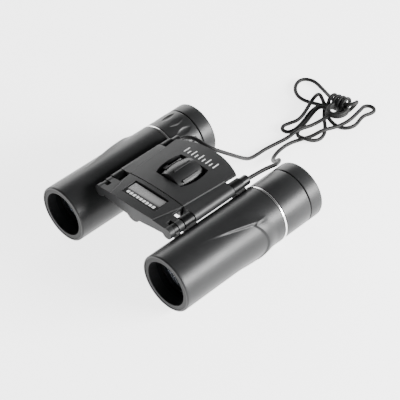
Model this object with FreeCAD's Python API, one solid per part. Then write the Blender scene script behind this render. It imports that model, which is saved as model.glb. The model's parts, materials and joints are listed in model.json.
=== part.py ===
"""Compact folding binoculars with two hinged barrels, a sliding focus bridge and a neck cord.

Every piece is built in the barrel frame: Y runs from the objective faces (y = 0) to the
eyecups, Z is up, and the barrel axes lie at z = 0. The user's left barrel is at +X.
The export moves everything so that the origin is under the middle of the resting object.
"""
import FreeCAD, Part
import math
import os

from FreeCAD import Vector

# ---- overall sizes, millimetres ----
BARREL_LENGTH = 85.9
BARREL_RADIUS = 14.2
AXIS_SPACING = 69.4
RUNNING = 0.05          # radial clearance of a fit that moves
SEATED = 0.03           # radial clearance of a fit that doesn't move
SIDE_GAP = 0.3          # axial gap between pieces that move past each other

# ---- hinges ----
ROD_RADIUS = 1.5
HINGE_INSET = 1.9       # how far a hinge axis lies inside the barrel's inner side, seen from above
HINGE_DROP = 1.6        # how far it lies below the barrel's top
HINGE_X = AXIS_SPACING / 2 - (BARREL_RADIUS - HINGE_INSET)
HINGE_Z = BARREL_RADIUS - HINGE_DROP
TUBE_RADIUS = 3.1       # hinge tube of the rear cover, lower half
LUG_RADIUS = 3.2
LUG_WEB = 4.6           # thickness of the web between lug and barrel
FRONT_LUG = (22.5, 28.3)
REAR_LUG = (53.3, 59.3)
CAP_RADIUS = 2.5
CAP_LENGTH = 4.6
CAP_ROUNDING = 0.35     # share of the cap's radius
CORD_ENTRY = 0.62       # how far along the cap the cord's end sits, as a share of its length
CORD_RADIUS = 0.9

# ---- barrel ----
ARMOUR_THICKNESS = 1.2
HOUSING_WALL = 1.1
HOUSING_RADIUS = BARREL_RADIUS - ARMOUR_THICKNESS
HOUSING_BORE = HOUSING_RADIUS - HOUSING_WALL
HOUSING_START = 1.1
MOUTH_RADIUS = 11.0
RING_FLANGE = 0.9
RING_LIP_GAP = 0.25
RING_DEPTH = 4.8
RING_RECESS = 0.2
ARMOUR_END = 60.9
RIDGE_HEIGHT = 0.9      # raised band on the outer side of the armour
RIDGE_START = 24.0
RIDGE_END = 57.0
RIDGE_RUN_IN = 9.0
POCKET_TIP = 22.0
POCKET_END = 49.8
POCKET_WIDTH = 13.2
POCKET_BELLY = 0.62     # half width of the pocket at its middle, as a share of its widest half
BRIGHT_RING_RADIUS = BARREL_RADIUS + 0.25
BRIGHT_RING_WIDTH = 1.0

# ---- objective ----
CELL_FRONT = 8.2
CELL_LENGTH = 18.0
LENS_RADIUS = 11.2
LENS_THICKNESS = 4.5
LENS_SAG = 1.1
RETAINER_WIDTH = 0.9
RETAINER_HEIGHT = 0.7
CELL_BORE = 10.3
ARM_START = 16.75
ARM_WIDTH = 2.05
ARM_HEIGHT = 3.6
EAR_RADIUS = 2.6
TRAVEL = 3.0            # focusing travel of the front plate and the objective cells

# ---- prisms ----
PRISM_START = 34.0
PRISM_LENGTH = 22.5
PRISM_WIDTH = 14.5
PRISM_HEIGHT = 17.0
PRISM_GAP = 0.6

# ---- eyepiece ----
EYEPIECE_RADIUS = BARREL_RADIUS - 0.05
SLEEVE_END = 77.9
NECK_RADIUS = EYEPIECE_RADIUS - 1.15
NECK_LENGTH = 3.4
CORE_START = 57.6
CORE_END = 77.0
OCULAR_RADIUS = 9.8
OCULAR_BORE = 8.6
OCULAR_START = 63.0
OCULAR_END = 79.4
FIELD_LENS_RADIUS = 8.5
EYE_LENS_RADIUS = 7.2
EYECUP_GAP = 0.4
EYECUP_RIM = 1.3
RIM_ROUND = 0.3         # share of the rim that its middle corner is cut back
EYECUP_MOUTH = 11.0
DIOPTRE_TRAVEL = 0.5

# ---- bridge ----
SEAM_Y = 28.6
SEAM_GAP = 0.3
COVER_END_SIDE = 59.2
COVER_END_MIDDLE = 64.5
COVER_RIDGE_FRONT = HINGE_X - 5.0
COVER_RIDGE_REAR = HINGE_X - 2.7
COVER_TUBE_END = 53.0
COVER_TOP_MIDDLE = HINGE_Z + 5.0
COVER_TOP_SIDE = HINGE_Z + 4.0
COVER_TUBE_CROWN = 3.3
RIDGE_STEP = 0.45       # the small bevel along the edge of the flat top
CROWN_ANGLE = 62.0      # where a sloping side meets the round top of its hinge tube, degrees
COVER_BOTTOM = HINGE_Z - 2.8
COVER_SIDE = HINGE_X - 5.4
COVER_WALL = 1.7
HOLDER_WALL = 1.7
OCULAR_LIP = 1.7
SHELF_THICKNESS = 1.3
WINDOW_FRONT = 36.3
WINDOW_REAR = 52.8
WINDOW_FRONT_HALF = 8.2
WINDOW_MIDDLE_HALF = 10.3
WINDOW_REAR_HALF = 9.0
PLATE_FRONT_MIDDLE = 12.9
PLATE_FRONT_CORNER = 13.9
PLATE_RIDGE_FRONT = HINGE_X - 9.2
PLATE_TOP_FRONT = HINGE_Z + 4.1     # height of the plate's middle at its front edge
PLATE_EDGE_DROP = 0.2   # how far the plate's ridge lies below the rear cover's
PLATE_KNUCKLE_RADIUS = 2.9
PLATE_KNUCKLE_FOOT = 0.9
PLATE_BELLY = 2.2
PLATE_WING_END = 22.2
PLATE_WING_FRONT = 12.9
PLATE_THICKNESS = 1.6
NOTCH = (16.5, 19.05)
LABEL_HALF = 11.0
LABEL_FRONT = 17.4
LABEL_REAR = 26.4
LABEL_DEPTH = 0.6
LABEL_THICKNESS = 0.35
BOTTOM_THICKNESS = 1.0
BOTTOM_HALF = HINGE_X - 7.4

# ---- focus drive ----
FOCUS_Z = HINGE_Z - 0.8
WHEEL_RADIUS = 8.5
WHEEL_END_RADIUS = 7.6
WHEEL_START = 36.9
WHEEL_END = 52.2
WHEEL_RIB = 0.45
WHEEL_RIBS = 8
WHEEL_RIB_LENGTH = 10.0
WHEEL_RIB_WIDTH = 1.1
FIRST_RIB_ANGLE = 4.0
WHEEL_CLEARANCE = 0.7
CUP_WALL = 0.9
SCREW_RADIUS = 1.5
SCREW_START = 18.0
SCREW_END = 57.0
BOSS_RADIUS = 4.6
NUT_RADIUS = 3.0
NUT_LENGTH = 8.0
CLIP_RADIUS = 2.2
CLIP_WIDTH = 0.6
BUSH_RADIUS = 2.6
COVER_SCREW_RADIUS = 0.9
COVER_SCREW_HEAD = 1.7
SCREW_HEAD_HEIGHT = 0.5
SCREW_REACH = 0.6       # share of the height inside the cover that a screw reaches up

LEFT = 1
RIGHT = -1
BARREL_X = AXIS_SPACING / 2
DEEP = 60.0             # longer than anything that a cut goes through


def tube(x, z, start, end, radius, bore=0.0):
    """A round bar or tube along Y."""
    body = Part.makeCylinder(radius, end - start, Vector(x, start, z), Vector(0, 1, 0))
    if bore > 0:
        body = body.cut(Part.makeCylinder(bore, end - start + 2, Vector(x, start - 1, z), Vector(0, 1, 0)))
    return body


def barrel_tube(start, end, radius, bore=0.0):
    """A round bar or tube about the left barrel's axis."""
    return tube(BARREL_X, 0.0, start, end, radius, bore)


def box(low, high):
    """A box between two corners."""
    size = [b - a for a, b in zip(low, high)]
    return Part.makeBox(size[0], size[1], size[2], Vector(*low))


def turned(points, x, z):
    """A solid of revolution about an axis along Y: points are (radius, y), in order round the section."""
    wire = Part.makePolygon([Vector(x + r, y, z) for r, y in points + points[:1]])
    return Part.Face(wire).revolve(Vector(x, 0, z), Vector(0, 1, 0), 360)


def lens(start, end, radius, sag_front, sag_rear):
    """A lens about the left barrel's axis, whose faces are parts of spheres with the given sags."""
    body = barrel_tube(start, end, radius)
    for apex, sag, inward in ((start, sag_front, 1), (end, sag_rear, -1)):
        curve = (radius ** 2 + sag ** 2) / (2 * sag)
        middle = Vector(BARREL_X, apex + inward * curve, 0)
        body = body.common(Part.makeSphere(curve, middle, Vector(0, 1, 0)))
    return body


def flat_solid(edges, low, high):
    """An upright solid between two heights, from edges drawn at z = 0."""
    face = Part.Face(Part.Wire(edges))
    face.translate(Vector(0, 0, low))
    return face.extrude(Vector(0, 0, high - low))


def mirrored(shape):
    """The same shape on the other side of the middle plane."""
    return shape.mirror(Vector(0, 0, 0), Vector(1, 0, 0))


def radial_box(start, end, near, far, half_width):
    """A box along Y that reaches from the hinge axis towards the left barrel's axis.

    near and far are distances from the hinge axis."""
    body = box((near, start, -half_width), (far, end, half_width))
    slope = math.degrees(math.atan2(HINGE_Z, BARREL_X - HINGE_X))
    body.rotate(Vector(0, 0, 0), Vector(0, 1, 0), slope)
    body.translate(Vector(HINGE_X, 0, HINGE_Z))
    return body


def hinge_reach():
    """The distance between the hinge axis and the barrel axis."""
    return math.hypot(BARREL_X - HINGE_X, HINGE_Z)


# ---- barrels ----

def barrel_housing():
    body = barrel_tube(HOUSING_START, ARMOUR_END, HOUSING_RADIUS)
    for start, end in (FRONT_LUG, REAR_LUG):
        body = body.fuse(tube(HINGE_X, HINGE_Z, start, end, LUG_RADIUS))
        body = body.fuse(radial_box(start, end, 0, hinge_reach() - HOUSING_BORE, LUG_WEB / 2))
    body = body.cut(barrel_tube(0, BARREL_LENGTH, HOUSING_BORE))
    body = body.cut(tube(HINGE_X, HINGE_Z, 0, BARREL_LENGTH, ROD_RADIUS + RUNNING))
    return body.cut(arm_slot())


def arm_slot():
    """The slot that the objective cell's arm slides in."""
    start = ARM_START - TRAVEL - SIDE_GAP
    end = ARM_START + ARM_WIDTH + SIDE_GAP
    return radial_box(start, end, 0, hinge_reach() - MOUTH_RADIUS / 2, ARM_HEIGHT / 2 + SIDE_GAP)


def barrel_armour():
    """The soft sleeve, with a raised band round a pocket on its outer side."""
    body = barrel_tube(0, ARMOUR_END, BARREL_RADIUS)
    swell = [
        (0, RIDGE_START),
        (BARREL_RADIUS - RIDGE_HEIGHT, RIDGE_START),
        (BARREL_RADIUS, RIDGE_START + RIDGE_RUN_IN),
        (BARREL_RADIUS, RIDGE_END - RIDGE_RUN_IN / 2),
        (BARREL_RADIUS - RIDGE_HEIGHT, RIDGE_END),
        (0, RIDGE_END),
    ]
    body = body.fuse(turned(swell, BARREL_X + RIDGE_HEIGHT, 0))
    body = body.cut(armour_pocket())
    body = body.cut(barrel_tube(-1, RING_RECESS + RING_FLANGE + SEATED,
                                BARREL_RADIUS - HOUSING_START / 2))
    body = body.cut(barrel_tube(-1, ARMOUR_END + 1, HOUSING_RADIUS + SEATED))
    for start, end in (FRONT_LUG, REAR_LUG):
        body = body.cut(radial_box(start - SEATED, end + SEATED, 0, hinge_reach(), LUG_WEB / 2 + SEATED))
    return body.cut(arm_slot())


def armour_pocket():
    """What the pocket takes out of the raised band, down to the sleeve's own surface."""
    tip = Vector(0, POCKET_TIP, 0)
    middle = (POCKET_TIP + POCKET_END) / 2
    half = POCKET_WIDTH / 2
    shoulder = POCKET_END - half
    edges = [
        Part.Arc(tip, Vector(0, middle, half * POCKET_BELLY), Vector(0, shoulder, half)).toShape(),
        Part.Arc(Vector(0, shoulder, half), Vector(0, POCKET_END, 0), Vector(0, shoulder, -half)).toShape(),
        Part.Arc(Vector(0, shoulder, -half), Vector(0, middle, -half * POCKET_BELLY), tip).toShape(),
    ]
    outline = Part.Face(Part.Wire(edges)).extrude(Vector(DEEP, 0, 0))
    outline.translate(Vector(BARREL_X, 0, 0))
    return outline.cut(barrel_tube(0, BARREL_LENGTH, BARREL_RADIUS))


def front_ring():
    seat = HOUSING_BORE - SEATED
    flange = BARREL_RADIUS - HOUSING_START / 2 - RING_LIP_GAP
    body = barrel_tube(RING_RECESS, RING_RECESS + RING_FLANGE, flange)
    body = body.fuse(barrel_tube(RING_RECESS, RING_RECESS + RING_DEPTH, seat))
    return body.cut(barrel_tube(-1, BARREL_LENGTH, MOUTH_RADIUS))


def prism_holder():
    end = PRISM_START + PRISM_LENGTH
    body = barrel_tube(PRISM_START, end, HOUSING_BORE - SEATED)
    half_width = PRISM_WIDTH / 2 + SEATED
    half_height = PRISM_HEIGHT / 2 + SEATED
    wall = HOLDER_WALL
    pocket = box((BARREL_X - half_width, PRISM_START + wall, -half_height),
                 (BARREL_X + half_width, end - wall, half_height))
    return body.cut(pocket).cut(barrel_tube(0, BARREL_LENGTH, PRISM_WIDTH / 2 - wall))


def prisms():
    """The two roof prisms of one barrel, first the half-penta prism and then the roof prism."""
    start = PRISM_START + HOLDER_WALL + SEATED
    end = PRISM_START + PRISM_LENGTH - HOLDER_WALL - SEATED
    middle = (start + end) / 2
    top = PRISM_HEIGHT / 2
    lean = PRISM_HEIGHT * math.tan(math.radians(22.5)) / 2
    face = middle - PRISM_GAP
    half_penta = [(start, -top), (start, top), (face - lean, top), (face + lean, -top)]
    roof = [(end, -top), (end, top), (middle - lean, top), (middle + lean, -top)]
    solids = []
    for outline in (half_penta, roof):
        corners = [Vector(BARREL_X - PRISM_WIDTH / 2, y, z) for y, z in outline + outline[:1]]
        solids.append(Part.Face(Part.makePolygon(corners)).extrude(Vector(PRISM_WIDTH, 0, 0)))
    ridge = Part.makePolygon([
        Vector(BARREL_X - PRISM_WIDTH / 2 - 1, start, top + 1),
        Vector(BARREL_X, start, top + 1),
        Vector(BARREL_X - PRISM_WIDTH / 2 - 1, start, top - PRISM_WIDTH / 2),
        Vector(BARREL_X - PRISM_WIDTH / 2 - 1, start, top + 1),
    ])
    wedge = Part.Face(ridge).extrude(Vector(0, end - start, 0))
    other = wedge.mirror(Vector(BARREL_X, 0, 0), Vector(1, 0, 0))
    solids[1] = solids[1].cut(wedge).cut(other)
    return solids


def bright_ring():
    return barrel_tube(ARMOUR_END + SEATED, ARMOUR_END + SEATED + BRIGHT_RING_WIDTH,
                       BRIGHT_RING_RADIUS, HOUSING_BORE + SEATED)


def sleeve_start():
    return ARMOUR_END + BRIGHT_RING_WIDTH + SIDE_GAP


def eyepiece_core():
    """The tube that carries the eyepiece, seated in the rear end of the barrel housing."""
    body = barrel_tube(CORE_START, CORE_END, HOUSING_BORE - SEATED)
    return body.cut(barrel_tube(0, BARREL_LENGTH, OCULAR_RADIUS + RUNNING))


def eyepiece_sleeve():
    """The outer sleeve of an eyepiece: fixed on the left, the dioptre ring on the right."""
    neck_end = SLEEVE_END + NECK_LENGTH
    body = barrel_tube(sleeve_start(), SLEEVE_END, EYEPIECE_RADIUS)
    body = body.fuse(barrel_tube(SLEEVE_END, neck_end, NECK_RADIUS))
    body = body.cut(barrel_tube(0, BARREL_LENGTH, OCULAR_RADIUS + SIDE_GAP))
    return body.cut(barrel_tube(0, CORE_END + SIDE_GAP, HOUSING_BORE - SEATED + RUNNING))


def eyecup():
    start = SLEEVE_END + EYECUP_GAP
    inner_step = SLEEVE_END + NECK_LENGTH + SEATED
    section = [
        (NECK_RADIUS + SEATED, start),
        (EYEPIECE_RADIUS, start),
        (EYEPIECE_RADIUS, BARREL_LENGTH - EYECUP_RIM),
        (EYEPIECE_RADIUS - EYECUP_RIM * RIM_ROUND, BARREL_LENGTH - EYECUP_RIM * RIM_ROUND),
        (EYEPIECE_RADIUS - EYECUP_RIM, BARREL_LENGTH),
        (EYECUP_MOUTH + EYECUP_RIM * 0.5, BARREL_LENGTH),
        (EYECUP_MOUTH, BARREL_LENGTH - EYECUP_RIM * 0.5),
        (OCULAR_RADIUS + SIDE_GAP, inner_step),
        (NECK_RADIUS + SEATED, inner_step),
    ]
    return turned(section, BARREL_X, 0)


def ocular_cell():
    body = barrel_tube(OCULAR_START, OCULAR_END, OCULAR_RADIUS)
    body = body.cut(barrel_tube(0, OCULAR_END - OCULAR_LIP, OCULAR_BORE))
    return body.cut(barrel_tube(0, BARREL_LENGTH, EYE_LENS_RADIUS - SIDE_GAP))


def field_lens():
    start = OCULAR_START + OCULAR_LIP
    return lens(start, start + FIELD_LENS_RADIUS / 2, FIELD_LENS_RADIUS, LENS_SAG, LENS_SAG)


def eye_lens():
    end = OCULAR_END - OCULAR_LIP - SEATED
    return lens(end - EYE_LENS_RADIUS / 2, end, EYE_LENS_RADIUS, LENS_SAG, LENS_SAG / 2)


# ---- objectives ----

def objective_cell():
    end = CELL_FRONT + CELL_LENGTH
    outer = HOUSING_BORE - RUNNING
    body = barrel_tube(CELL_FRONT, end, outer)
    arm_end = ARM_START + ARM_WIDTH
    body = body.fuse(radial_box(ARM_START, arm_end, 0, hinge_reach() - CELL_BORE, ARM_HEIGHT / 2))
    body = body.fuse(tube(HINGE_X, HINGE_Z, ARM_START, arm_end, EAR_RADIUS))
    body = body.cut(tube(HINGE_X, HINGE_Z, 0, end, ROD_RADIUS + RUNNING))
    body = body.cut(barrel_tube(0, BARREL_LENGTH, CELL_BORE))
    seat_end = CELL_FRONT + RETAINER_WIDTH + LENS_THICKNESS
    return body.cut(barrel_tube(0, seat_end, LENS_RADIUS + SEATED))


def objective_lens():
    start = CELL_FRONT + RETAINER_WIDTH
    return lens(start, start + LENS_THICKNESS, LENS_RADIUS, LENS_SAG, LENS_SAG / 2)


def lens_retainer():
    return barrel_tube(CELL_FRONT, CELL_FRONT + RETAINER_WIDTH, LENS_RADIUS, LENS_RADIUS - RETAINER_HEIGHT)


# ---- bridge ----

def crown(half_width, side_z, middle_z, y):
    """The crowned top edge of a bridge section, from -X to +X."""
    ends = [Vector(side * half_width, y, side_z) for side in (RIGHT, LEFT)]
    return Part.Arc(ends[0], Vector(0, y, middle_z), ends[1]).toShape()


def polyline(points):
    """Straight edges through the points, in order."""
    return [Part.makeLine(a, b) for a, b in zip(points, points[1:])]


def round_hinge(side, radius, angle, y):
    """A point at an angle, in degrees, above the outer side of a circle about a hinge axis."""
    turn = math.radians(angle)
    return Vector(side * (HINGE_X + radius * math.cos(turn)), y, HINGE_Z + radius * math.sin(turn))


def crowned_top(y, ridge, side_z, middle_z, radius):
    """The top edges of a bridge section, from one round hinge over the crowned middle to the other.

    The crown ends in a small bevel, and a gentler slope runs from there down to the hinge."""
    left = [round_hinge(LEFT, radius, share * CROWN_ANGLE, y) for share in (0, 0.5, 1)]
    right = [round_hinge(RIGHT, radius, share * CROWN_ANGLE, y) for share in (0, 0.5, 1)]
    foot = Vector(ridge + RIDGE_STEP, y, side_z - RIDGE_STEP)
    edges = [Part.Arc(*right).toShape()]
    edges += polyline([right[2], Vector(-foot.x, y, foot.z), Vector(-ridge, y, side_z)])
    edges.append(crown(ridge, side_z, middle_z, y))
    edges += polyline([Vector(ridge, y, side_z), foot, left[2]])
    edges.append(Part.Arc(*left[::-1]).toShape())
    return edges


def cover_section(y, ridge):
    """One cross-section of the rear cover, from the hinge on one side to the other."""
    edges = crowned_top(y, ridge, COVER_TOP_SIDE, COVER_TOP_MIDDLE, COVER_TUBE_CROWN)
    edges += polyline([
        round_hinge(LEFT, COVER_TUBE_CROWN, 0, y),
        Vector(HINGE_X, y, HINGE_Z),
        Vector(COVER_SIDE, y, COVER_BOTTOM),
        Vector(-COVER_SIDE, y, COVER_BOTTOM),
        Vector(-HINGE_X, y, HINGE_Z),
        round_hinge(RIGHT, COVER_TUBE_CROWN, 0, y),
    ])
    return Part.Wire(edges)


def shelf_section(y, ridge):
    """One cross-section of the thin shelf behind the rear cover's hinge tubes."""
    under = COVER_TOP_SIDE - SHELF_THICKNESS
    edges = [crown(ridge, COVER_TOP_SIDE, COVER_TOP_MIDDLE, y)]
    edges += polyline([
        Vector(ridge, y, COVER_TOP_SIDE),
        Vector(ridge, y, under),
        Vector(-ridge, y, under),
        Vector(-ridge, y, COVER_TOP_SIDE),
    ])
    return Part.Wire(edges)


def ridge_at(y):
    """Half the width of the rear cover's flat top."""
    share = (y - SEAM_Y) / (COVER_END_SIDE - SEAM_Y)
    return COVER_RIDGE_FRONT + (COVER_RIDGE_REAR - COVER_RIDGE_FRONT) * share


def rear_outline(low, high):
    """Everything in front of the bowed rear edge of the cover."""
    half = AXIS_SPACING / 2
    drop = (COVER_END_MIDDLE - COVER_END_SIDE) * (half / COVER_RIDGE_REAR) ** 2
    corner_left = Vector(half, COVER_END_MIDDLE - drop, 0)
    corner_right = Vector(-half, COVER_END_MIDDLE - drop, 0)
    edges = [Part.Arc(corner_right, Vector(0, COVER_END_MIDDLE, 0), corner_left).toShape()]
    edges += polyline([corner_left, Vector(half, 0, 0), Vector(-half, 0, 0), corner_right])
    return flat_solid(edges, low, high)


def window_outline(low, high):
    """The window that the focus wheel stands in, with bowed sides."""
    middle = (WINDOW_FRONT + WINDOW_REAR) / 2
    front_left = Vector(WINDOW_FRONT_HALF, WINDOW_FRONT, 0)
    rear_left = Vector(WINDOW_REAR_HALF, WINDOW_REAR, 0)
    front_right = Vector(-WINDOW_FRONT_HALF, WINDOW_FRONT, 0)
    rear_right = Vector(-WINDOW_REAR_HALF, WINDOW_REAR, 0)
    edges = [
        Part.Arc(front_left, Vector(WINDOW_MIDDLE_HALF, middle, 0), rear_left).toShape(),
        Part.makeLine(rear_left, rear_right),
        Part.Arc(rear_right, Vector(-WINDOW_MIDDLE_HALF, middle, 0), front_right).toShape(),
        Part.makeLine(front_right, front_left),
    ]
    return flat_solid(edges, low, high)


def rear_cover():
    start = SEAM_Y + SEAM_GAP / 2
    front = cover_section(start, ridge_at(start))
    back = cover_section(COVER_TUBE_END, ridge_at(COVER_TUBE_END))
    body = Part.makeLoft([front, back], True, True)
    shelf_end = COVER_END_MIDDLE + 1
    shelf = Part.makeLoft([shelf_section(COVER_TUBE_END - 1, ridge_at(COVER_TUBE_END - 1)),
                           shelf_section(shelf_end, ridge_at(shelf_end))], True, True)
    body = body.fuse(shelf)
    for side in (LEFT, RIGHT):
        body = body.fuse(tube(side * HINGE_X, HINGE_Z, start, COVER_TUBE_END, TUBE_RADIUS))
    body = body.fuse(bearing_wall())
    body = body.common(rear_outline(0, DEEP))
    cavity_top = COVER_TOP_SIDE - COVER_WALL
    cavity_half = COVER_SIDE - COVER_WALL
    body = body.cut(box((-cavity_half, start + COVER_WALL, 0),
                        (cavity_half, COVER_TUBE_END - COVER_WALL / 2, cavity_top)))
    body = body.cut(window_outline(0, DEEP))
    body = body.cut(wheel_room(0.0))
    body = body.cut(tube(0, FOCUS_Z, 0, COVER_TUBE_END, SCREW_RADIUS + SIDE_GAP))
    body = body.cut(tube(0, FOCUS_Z, WHEEL_END, SCREW_END + SEATED, BUSH_RADIUS + SEATED))
    for side in (LEFT, RIGHT):
        body = body.cut(tube(side * HINGE_X, HINGE_Z, 0, BARREL_LENGTH, ROD_RADIUS + SEATED))
    return body.fuse(cover_posts())


def bearing_wall():
    """The wall and the block behind the focus wheel that hold the screw's bush."""
    front = WHEEL_END + WHEEL_CLEARANCE
    behind_cup = front + CUP_WALL + SIDE_GAP
    half_wall = WINDOW_MIDDLE_HALF + COVER_WALL
    half_block = BUSH_RADIUS + COVER_WALL
    wall = box((-half_wall, front, COVER_BOTTOM), (half_wall, behind_cup + COVER_WALL / 2, COVER_TOP_SIDE))
    block = box((-half_block, behind_cup, FOCUS_Z - half_block),
                (half_block, SCREW_END + COVER_WALL, COVER_TOP_SIDE))
    return wall.fuse(block)


def cover_posts():
    """Posts inside the rear cover that the bottom cover is screwed to."""
    posts = []
    for x, y in cover_screw_places():
        post = Part.makeCylinder(COVER_SCREW_HEAD, COVER_TOP_SIDE - COVER_BOTTOM - COVER_WALL / 2,
                                 Vector(x, y, COVER_BOTTOM))
        posts.append(post.cut(Part.makeCylinder(COVER_SCREW_RADIUS + SEATED, screw_depth(),
                                                Vector(x, y, COVER_BOTTOM))))
    return Part.makeCompound(posts)


def cover_screw_places():
    across = COVER_SIDE - COVER_WALL - COVER_SCREW_HEAD - SIDE_GAP
    ends = (SEAM_Y + COVER_WALL + COVER_SCREW_HEAD + SIDE_GAP,
            COVER_TUBE_END - COVER_WALL / 2 - COVER_SCREW_HEAD - SIDE_GAP)
    return [(side * across, y) for side in (LEFT, RIGHT) for y in ends]


def screw_depth():
    return (COVER_TOP_SIDE - COVER_BOTTOM) * SCREW_REACH


def wheel_room(extra):
    """The round space that the focus wheel turns in."""
    return tube(0, FOCUS_Z, WHEEL_START - WHEEL_CLEARANCE - extra, WHEEL_END + WHEEL_CLEARANCE + extra,
                WHEEL_RADIUS + WHEEL_RIB + WHEEL_CLEARANCE + extra)


def bottom_cover():
    start = SEAM_Y + SEAM_GAP / 2
    low = COVER_BOTTOM - SEATED - BOTTOM_THICKNESS
    high = COVER_BOTTOM - SEATED
    plate = box((-BOTTOM_HALF, start, low), (BOTTOM_HALF, COVER_TUBE_END, high))
    cup = wheel_room(CUP_WALL).common(box((-DEEP, 0, -DEEP), (DEEP, BARREL_LENGTH, high)))
    body = plate.fuse(cup).cut(wheel_room(0.0))
    body = body.cut(tube(0, FOCUS_Z, 0, BARREL_LENGTH, CLIP_RADIUS + SIDE_GAP))
    body = body.cut(tube(0, FOCUS_Z, WHEEL_END, BARREL_LENGTH, BUSH_RADIUS + SIDE_GAP))
    for x, y in cover_screw_places():
        body = body.cut(Part.makeCylinder(COVER_SCREW_RADIUS + SEATED, DEEP, Vector(x, y, 0)))
        head_room = Part.makeCylinder(COVER_SCREW_HEAD + SEATED, SCREW_HEAD_HEIGHT + SEATED,
                                      Vector(x, y, low))
        body = body.cut(head_room)
    return body


def cover_screws():
    """Four identical screws that hold the bottom cover."""
    low = COVER_BOTTOM - SEATED - BOTTOM_THICKNESS
    screws = []
    for x, y in cover_screw_places():
        length = BOTTOM_THICKNESS + screw_depth() - SIDE_GAP
        shank = Part.makeCylinder(COVER_SCREW_RADIUS, length, Vector(x, y, low))
        head = Part.makeCylinder(COVER_SCREW_HEAD, SCREW_HEAD_HEIGHT, Vector(x, y, low))
        slot = box((x - COVER_SCREW_HEAD, y - SIDE_GAP / 2, low - 1),
                   (x + COVER_SCREW_HEAD, y + SIDE_GAP / 2, low + SCREW_HEAD_HEIGHT / 2))
        screws.append(shank.fuse(head).cut(slot))
    return Part.makeCompound(screws)


def plate_bore_start():
    """Where the closed end of the front plate's rod bores lies."""
    return PLATE_FRONT_CORNER + PLATE_THICKNESS / 2


def hinge_rod():
    end = REAR_LUG[1] + SIDE_GAP + CAP_LENGTH / 2
    return tube(HINGE_X, HINGE_Z, plate_bore_start() + SIDE_GAP, end, ROD_RADIUS)


def strap_cap():
    """The cap on a hinge rod's rear end. The neck cord comes out of its rounded end."""
    start = REAR_LUG[1] + SIDE_GAP
    end = start + CAP_LENGTH
    body = tube(HINGE_X, HINGE_Z, start, end, CAP_RADIUS)
    rim = [edge for edge in body.Edges if abs(edge.CenterOfMass.y - end) < 0.01]
    body = body.makeFillet(CAP_RADIUS * CAP_ROUNDING, rim)
    body = body.cut(tube(HINGE_X, HINGE_Z, start - 1, start + CAP_LENGTH / 2 + SEATED, ROD_RADIUS + SEATED))
    return body.cut(tube(HINGE_X, HINGE_Z, cord_start(), end + 1, CORD_RADIUS + SEATED))


def cord_start():
    return REAR_LUG[1] + SIDE_GAP + CAP_LENGTH * CORD_ENTRY


# ---- front plate ----

def plate_section(y, ridge, middle_z):
    """One cross-section of the front plate, wings included."""
    edges = crowned_top(y, ridge, COVER_TOP_SIDE - PLATE_EDGE_DROP, middle_z, PLATE_KNUCKLE_RADIUS)
    edges += polyline([
        round_hinge(LEFT, PLATE_KNUCKLE_RADIUS, 0, y),
        Vector(HINGE_X, y, HINGE_Z - PLATE_KNUCKLE_FOOT),
        Vector(BOSS_RADIUS, y, HINGE_Z - PLATE_BELLY),
        Vector(-BOSS_RADIUS, y, HINGE_Z - PLATE_BELLY),
        Vector(-HINGE_X, y, HINGE_Z - PLATE_KNUCKLE_FOOT),
        round_hinge(RIGHT, PLATE_KNUCKLE_RADIUS, 0, y),
    ])
    return Part.Wire(edges)


def plate_outline(low, high):
    """The plan outline of the front plate: a bowed front edge and wings that end before the lugs."""
    rear = SEAM_Y - SEAM_GAP / 2
    wing = HINGE_X + 2 * PLATE_KNUCKLE_RADIUS
    neck = COVER_RIDGE_FRONT
    front_drop = PLATE_FRONT_CORNER - PLATE_FRONT_MIDDLE
    front_left = Vector(PLATE_RIDGE_FRONT, PLATE_FRONT_MIDDLE + front_drop / 2, 0)
    front_right = Vector(-PLATE_RIDGE_FRONT, PLATE_FRONT_MIDDLE + front_drop / 2, 0)
    edges = [Part.Arc(front_right, Vector(0, PLATE_FRONT_MIDDLE, 0), front_left).toShape()]
    edges += polyline([
        front_left,
        Vector(wing, PLATE_WING_FRONT + front_drop, 0),
        Vector(wing, PLATE_WING_END, 0),
        Vector(neck, PLATE_WING_END, 0),
        Vector(neck, rear, 0),
        Vector(-neck, rear, 0),
        Vector(-neck, PLATE_WING_END, 0),
        Vector(-wing, PLATE_WING_END, 0),
        Vector(-wing, PLATE_WING_FRONT + front_drop, 0),
        front_right,
    ])
    return flat_solid(edges, low, high)


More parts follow.
